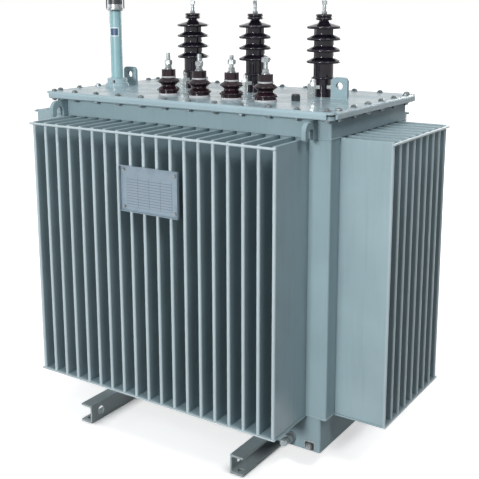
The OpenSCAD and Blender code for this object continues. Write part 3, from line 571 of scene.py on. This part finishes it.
# the same on the low-voltage terminals, where each nut stands at its own height
lvTop = {
    "aboveCollar": 13 * mm, "nutGaps": (0.4 * mm, 0.4 * mm, 9 * mm, 19 * mm), "turns": 18,
    "pitch": 1.75 * mm,
    "nut": {"Washer Radius": 11 * mm, "Washer Height": 1.5 * mm, "Hex Radius": 11.5 * mm,
            "Hex Height": 12 * mm, "Thread Radius": 5.6 * mm, "Thread Out": 1 * mm,
            "Seed": 7, "Material": zincSteel},
    "thread": {"Radius": 5.7 * mm, "Ridge": 0.8 * mm, "Seed": 1, "Material": zincSteel}}
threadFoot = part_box("lv_bushing_1")[1].z + lvTop["aboveCollar"]
lvSpots = []
for i in (1, 2, 3, 4):
    at = middle(f"lv_bushing_{i}")
    lvSpots.append(Vector((at.x, at.y, threadFoot)))
nutSpots = [(p + up * gap, up) for p, gap in zip(lvSpots, lvTop["nutGaps"])]
grow("lv_terminal_nuts", pointMesh("lvNuts", nutSpots), boltTree, lvTop["nut"])
grow("lv_threads", pointMesh("lvThreads", [(p, up) for p in lvSpots]), threadTree,
     dict(lvTop["thread"], Turns=float(lvTop["turns"]), Height=lvTop["turns"] * lvTop["pitch"]))

# screws in the corners of the name plate's tray
plateScrews = {
    "inset": 12 * mm, "sheet": 1.5 * mm,
    "sizes": {"Washer Radius": 5.5 * mm, "Washer Height": 1 * mm, "Hex Radius": 4.2 * mm,
              "Hex Height": 3 * mm, "Thread Radius": 2 * mm, "Thread Out": 1 * mm, "Seed": 3,
              "Material": zincSteel}}
plateLow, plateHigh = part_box("name_plate")
trayFace = plateHigh.y - plateScrews["sheet"]
corners = [Vector((x, trayFace, z))
           for x in (plateLow.x + plateScrews["inset"], plateHigh.x - plateScrews["inset"])
           for z in (plateLow.z + plateScrews["inset"], plateHigh.z - plateScrews["inset"])]
grow("name_plate_screws", pointMesh("plateScrews", [(p, frontward) for p in corners]), boltTree,
     plateScrews["sizes"])

# set screw in the neck of the filler flange
fillerScrew = {
    "angle": math.radians(-68), "radius": 31 * mm, "high": 20 * mm,
    "sizes": {"Washer Radius": 4.5 * mm, "Washer Height": 1 * mm, "Hex Radius": 3.8 * mm,
              "Hex Height": 3.5 * mm, "Thread Radius": 2 * mm, "Thread Out": 0.5 * mm, "Seed": 5,
              "Material": blackPlastic}}
fillerAt = middle("filler_flange")
outward = Vector((math.cos(fillerScrew["angle"]), math.sin(fillerScrew["angle"]), 0))
neckAt = Vector((fillerAt.x, fillerAt.y, lidTop + fillerScrew["high"]))
grow("filler_set_screw",
     pointMesh("fillerScrew", [(neckAt + outward * fillerScrew["radius"], outward)]), boltTree,
     fillerScrew["sizes"])

# earthing point on the front of the pan: plate, pad and bolt, one on the other
earth = {
    "x": 423 * mm, "up": 15 * mm, "bevel": 0.5 * mm,
    "plate": {"size": (34 * mm, 1.2 * mm, 30 * mm), "material": valveSteel, "slot": "zinc_steel"},
    "pad": {"size": (26 * mm, 2.5 * mm, 19 * mm), "material": gasketRubber,
            "slot": "gasket_rubber"},
    "bolt": {"Washer Radius": 9 * mm, "Washer Height": 2 * mm, "Hex Radius": 8 * mm,
             "Hex Height": 6 * mm, "Thread Radius": 4 * mm, "Thread Out": 3 * mm, "Seed": 8,
             "Material": zincSteel}}
panLow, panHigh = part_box("base_pan")
earthAt = Vector((earth["x"], panLow.y, panLow.z + earth["up"]))
for label in ("plate", "pad"):
    layer = earth[label]
    thick = layer["size"][1]
    slab("earth_" + label, layer["size"], earthAt + frontward * (thick / 2), earth["bevel"],
         layer["material"])
    earthAt = earthAt + frontward * thick
grow("earth_bolt", pointMesh("earthBolt", [(earthAt, frontward)]), boltTree, earth["bolt"])

# weld beads at the lugs, filler, hooks and posts, under the shelf and along the channels
weld = {"radius": 1.6 * mm, "step": 2 * mm, "ripple": 1.1 * mm, "rippleMm": 5, "ringPoints": 48,
        "shortOfPan": 15 * mm}


def boxLoop(x0, x1, y0, y1, z):  # level rectangle
    return [(x0, y0, z), (x1, y0, z), (x1, y1, z), (x0, y1, z), (x0, y0, z)]


lines = []
for node in ("lifting_lug_left", "lifting_lug_right"):
    low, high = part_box(node)
    lines.append(boxLoop(low.x, high.x, low.y, high.y, low.z))
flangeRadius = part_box("filler_flange")[1].x - fillerAt.x
turns = [math.tau * i / weld["ringPoints"] for i in range(weld["ringPoints"])]
ring = [(fillerAt.x + flangeRadius * math.cos(a), fillerAt.y + flangeRadius * math.sin(a), lidTop)
        for a in turns]
lines.append(ring + [ring[0]])
bandLow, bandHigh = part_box("upper_wall_band")
for node in [n for n in nodes if n.startswith("lifting_hook")]:
    low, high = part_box(node)
    wall = bandHigh.y if low.y > 0 else bandLow.y
    for x in (low.x, high.x):
        lines.append([(x, wall, low.z), (x, wall, high.z)])
for node in ("base_channel_left", "base_channel_right"):
    low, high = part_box(node)
    for x in (low.x, high.x):
        lines.append([(x, panLow.y + weld["shortOfPan"], high.z),
                      (x, panHigh.y - weld["shortOfPan"], high.z)])
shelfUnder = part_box("fin_shelf")[0].z
lines.append(boxLoop(-panHigh.x, panHigh.x, -panHigh.y, panHigh.y, shelfUnder))
for node in [n for n in nodes if n.startswith("corner_post")]:  # round the two outer faces
    low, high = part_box(node)
    outX, inX = (high.x, low.x) if low.x > 0 else (low.x, high.x)
    outY, inY = (high.y, low.y) if low.y > 0 else (low.y, high.y)
    for z in (low.z, high.z):
        lines.append([(inX, outY, z), (outX, outY, z), (outX, inY, z)])
grow("weld_beads", lineMesh("weldLines", lines), beadTree,
     {"Radius": weld["radius"], "Step": weld["step"], "Ripple": weld["ripple"],
      "Ripple Scale": perMm(weld["rippleMm"]), "Material": tankPaint})

# bare label on the filler pipe: a blue field on a pale border
pipeLabel = {"middle": math.radians(-67), "halfAngle": math.radians(46), "low": 160 * mm,
             "high": 188 * mm, "border": 3 * mm, "film": 0.3 * mm, "steps": 24}
pipeLow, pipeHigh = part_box("filler_pipe")
pipeAt, pipeRadius = (pipeLow + pipeHigh) / 2, (pipeHigh.x - pipeLow.x) / 2


def wrap(name, layer, border, material):  # a film bent round the pipe, drawn in by a border
    radius = pipeRadius + layer * pipeLabel["film"]
    halfAngle = pipeLabel["halfAngle"] - border / pipeRadius
    low, high = lidTop + pipeLabel["low"] + border, lidTop + pipeLabel["high"] - border
    points, faces, steps = [], [], pipeLabel["steps"]
    for i in range(steps + 1):
        a = pipeLabel["middle"] + halfAngle * (2 * i / steps - 1)
        for r in (radius, radius - pipeLabel["film"]):
            for z in (low, high):
                points.append((pipeAt.x + r * math.cos(a), pipeAt.y + r * math.sin(a), z))
    for i in range(steps):  # four points a step: outer low and high, inner low and high
        a, b = 4 * i, 4 * i + 4
        faces += [(a, b, b + 1, a + 1), (a + 2, a + 3, b + 3, b + 2), (a, a + 2, b + 2, b),
                  (a + 1, b + 1, b + 3, a + 3)]
    last = 4 * steps
    faces += [(0, 1, 3, 2), (last, last + 2, last + 3, last + 1)]
    mesh = bpy.data.meshes.new(name)
    mesh.from_pydata(points, [], faces)
    mesh.materials.append(material)
    return addPiece(name, mesh)


wrap("pipe_label_border", 1, 0, labelWhite)
wrap("pipe_label_field", 2, pipeLabel["border"], labelBlue)


# anodised sheet with an empty ruled table printed on it: dull, faintly brushed, thin dark lines
def ruledPlate(name, look, origin):
    material, tree, shader, place = blankMaterial(name)
    turn = addNode(tree, "ShaderNodeMapping",
                   {"Vector": place, "Location": origin, "Rotation": (math.radians(-90), 0, 0)})
    rules = addNode(tree, "ShaderNodeTexBrick",
                    {"Vector": turn.outputs[0], "Scale": 1.0,
                     "Mortar Size": look["lineMm"] * mm / 2, "Mortar Smooth": look["lineSoft"],
                     "Brick Width": look["columnMm"] * mm, "Row Height": look["rowMm"] * mm,
                     "Color1": linear(look["colour"]), "Color2": linear(look["colour"]),
                     "Mortar": linear(look["line"])}, offset=0.0)
    cloud = addNode(tree, "ShaderNodeTexNoise",
                    {"Vector": place, "Scale": perMm(look["cloudMm"]), "Detail": 5.0})
    tone = addNode(tree, "ShaderNodeMapRange",
                   {"Value": cloud.outputs["Fac"], **look["cloudSpan"], "To Max": look["cloud"]})
    sheet = addNode(tree, "ShaderNodeMix",
                    {0: tone.outputs[0], 6: rules.outputs["Color"], 7: linear(look["shade"])},
                    data_type="RGBA")
    tree.links.new(sheet.outputs[2], shader.inputs["Base Color"])
    dull = addNode(tree, "ShaderNodeMapRange",
                   {"Value": cloud.outputs["Fac"], **look["roughSpan"]})
    tree.links.new(dull.outputs[0], shader.inputs["Roughness"])
    brushed = addNode(tree, "ShaderNodeMapping",
                      {"Vector": place, "Scale": (look["hairStretch"], 1.0, 1.0)})
    hair = addNode(tree, "ShaderNodeTexNoise",
                   {"Vector": brushed.outputs[0], "Scale": perMm(look["hairMm"]), "Detail": 2.0})
    skin = addNode(tree, "ShaderNodeBump",
                   {"Height": hair.outputs["Fac"], "Strength": look["bump"],
                    "Distance": look["hairHighMm"] * mm})
    tree.links.new(skin.outputs[0], shader.inputs["Normal"])
    shader.inputs["Metallic"].default_value = look["metallic"]
    return material


# brushed hairs are finer than hairMm in truth: they are drawn coarse enough to show
plateTable = {
    "sides": 22 * mm, "bottom": 13.2 * mm, "top": 30 * mm, "thick": 0.6 * mm, "bevel": 0.15 * mm,
    "colour": "#8797a4", "shade": "#7b8b98", "line": "#4a565f", "lineMm": 1.3, "lineSoft": 0.3,
    "columnMm": 38.25, "rowMm": 7.5, "cloudMm": 40, "cloud": 0.35,
    "cloudSpan": {"From Min": 0.4, "From Max": 0.7}, "roughSpan": {"To Min": 0.3, "To Max": 0.55},
    "hairMm": 0.8, "hairStretch": 0.02, "hairHighMm": 0.1, "bump": 0.08, "metallic": 0.1}
tableFace = trayFace - plateTable["thick"]
tableLow = Vector((plateLow.x + plateTable["sides"], tableFace,
                   plateLow.z + plateTable["bottom"]))
tableHigh = Vector((plateHigh.x - plateTable["sides"], trayFace,
                    plateHigh.z - plateTable["top"]))
tablePrint = ruledPlate("printedBlankTable", plateTable, (-tableLow.x, -tableLow.z, 0))
slab("plate_table", tableHigh - tableLow, (tableLow + tableHigh) / 2, plateTable["bevel"],
     tablePrint)

# floor and world: white to look at, grey in the light that they throw
studio = {"floor": 40, "sky": (0.96, 0.98, 1.0, 1.0), "ambient": 0.21, "bounce": "#6e6e6e",
          "paper": "#fafafa", "rough": 0.9, "glowNear": 0.55, "near": 1.2, "far": 3.0,
          "contactShadowMm": 45, "contactShadowFrom": 0.5}


def seenDirectly(tree):  # 1 where the camera, a mirror or a glass looks at it, else 0
    path = addNode(tree, "ShaderNodeLightPath")
    first = addNode(tree, "ShaderNodeMath",
                    {0: path.outputs["Is Camera Ray"], 1: path.outputs["Is Glossy Ray"]},
                    operation="MAXIMUM")
    both = addNode(tree, "ShaderNodeMath",
                   {0: first.outputs[0], 1: path.outputs["Is Transmission Ray"]},
                   operation="MAXIMUM")
    return both.outputs[0]


reach = studio["floor"]
floorMesh = bpy.data.meshes.new("floor")
floorMesh.from_pydata([(-reach, -reach, 0), (reach, -reach, 0), (reach, reach, 0),
                       (-reach, reach, 0)], [], [(0, 1, 2, 3)])
floor = bpy.data.objects.new("floor", floorMesh)
scene.collection.objects.link(floor)

# matt studio paper: shows the shadow near the object, with a painted contact shadow under the
# feet, and fades to plain white further out
paper, tree, shader, place = blankMaterial("paleStudioPaper")
shader.inputs["Roughness"].default_value = studio["rough"]
shader.inputs["Specular IOR Level"].default_value = 0.0
seen = seenDirectly(tree)
sheet = addNode(tree, "ShaderNodeMix",
                {0: seen, 6: linear(studio["bounce"]), 7: linear(studio["paper"])},
                data_type="RGBA")
tree.links.new(sheet.outputs[2], shader.inputs["Base Color"])
distance = addNode(tree, "ShaderNodeVectorMath", {0: place}, operation="LENGTH")
fade = addNode(tree, "ShaderNodeMapRange",
               {"Value": distance.outputs["Value"], "From Min": studio["near"],
                "From Max": studio["far"], "To Min": studio["glowNear"], "To Max": 1.0})
contactShade = addNode(tree, "ShaderNodeAmbientOcclusion", {"Distance": studio["contactShadowMm"] * mm},
                samples=8)  # painted contact shadow: the glow is dimmed under the feet
clear = addNode(tree, "ShaderNodeMapRange",
                {"Value": contactShade.outputs["AO"], "From Min": studio["contactShadowFrom"],
                 "To Max": fade.outputs[0]})
strength = addNode(tree, "ShaderNodeMath", {0: seen, 1: clear.outputs[0]}, operation="MULTIPLY")
glow = addNode(tree, "ShaderNodeEmission", {"Strength": strength.outputs[0]})
lit = addNode(tree, "ShaderNodeAddShader", {0: shader.outputs[0], 1: glow.outputs[0]})
tree.links.new(lit.outputs[0], tree.nodes["Material Output"].inputs["Surface"])
floorMesh.materials.append(paper)

world = bpy.data.worlds.new("whiteStudio")
world.use_nodes = True
scene.world = world
tree = world.node_tree
ambient = tree.nodes["Background"]
ambient.inputs["Color"].default_value = studio["sky"]
ambient.inputs["Strength"].default_value = studio["ambient"]
white = addNode(tree, "ShaderNodeBackground", {"Color": (1, 1, 1, 1), "Strength": 1.0})
mixed = addNode(tree, "ShaderNodeMixShader",
                {0: seenDirectly(tree), 1: ambient.outputs[0], 2: white.outputs[0]})
tree.links.new(mixed.outputs[0], tree.nodes["World Output"].inputs["Surface"])
print("floor and world")

lampAim = Vector((0, 0, 0.6))
lamps = {
    "keyLamp": {"power": 250, "size": 1.2, "at": (0.42, -5.8, 2.05)},  # in front, low
    "sideLamp": {"power": 72, "size": 1.4, "at": (3.05, -1.42, 4.5)},  # high right, for fin gaps
    "topLamp": {"power": 26, "size": 0.7, "at": (0.2, -1.0, 4.4)},  # shine on porcelain rims
    "backLamp": {"power": 110, "size": 2.0, "at": (0.3, 5.2, 1.9)},  # so the back is not black
    "leftLamp": {"power": 60, "size": 2.0, "at": (-5.4, -0.6, 1.9)}}  # nor the left end
for name, look in lamps.items():
    lamp = bpy.data.lights.new(name, "AREA")
    lamp.energy, lamp.size = look["power"], look["size"]
    holder = bpy.data.objects.new(name, lamp)
    holder.location = look["at"]
    holder.rotation_euler = (lampAim - holder.location).to_track_quat("-Z", "Y").to_euler()
    scene.collection.objects.link(holder)
print("lamps:", len(lamps))

# focal length and the lens axis are in pixels of the frame
shot = {"at": (1.430, -2.094, 1.246), "azimuth": 32.986, "elevation": 11.25, "sensor": 36,
        "frame": 479, "focal": 847.1, "axisX": 247.379, "axisY": 172.44}
lens = bpy.data.cameras.new("camera")
lens.sensor_width = shot["sensor"]
lens.lens = shot["focal"] * shot["sensor"] / shot["frame"]
lens.shift_x = (shot["frame"] / 2 - shot["axisX"]) / shot["frame"]
lens.shift_y = (shot["axisY"] - shot["frame"] / 2) / shot["frame"]
camera = bpy.data.objects.new("camera", lens)
camera.location = shot["at"]
camera.rotation_euler = (math.radians(90 - shot["elevation"]), 0, math.radians(shot["azimuth"]))
scene.collection.objects.link(camera)
scene.camera = camera
scene.view_settings.view_transform = "Standard"
print("camera at", shot["at"])
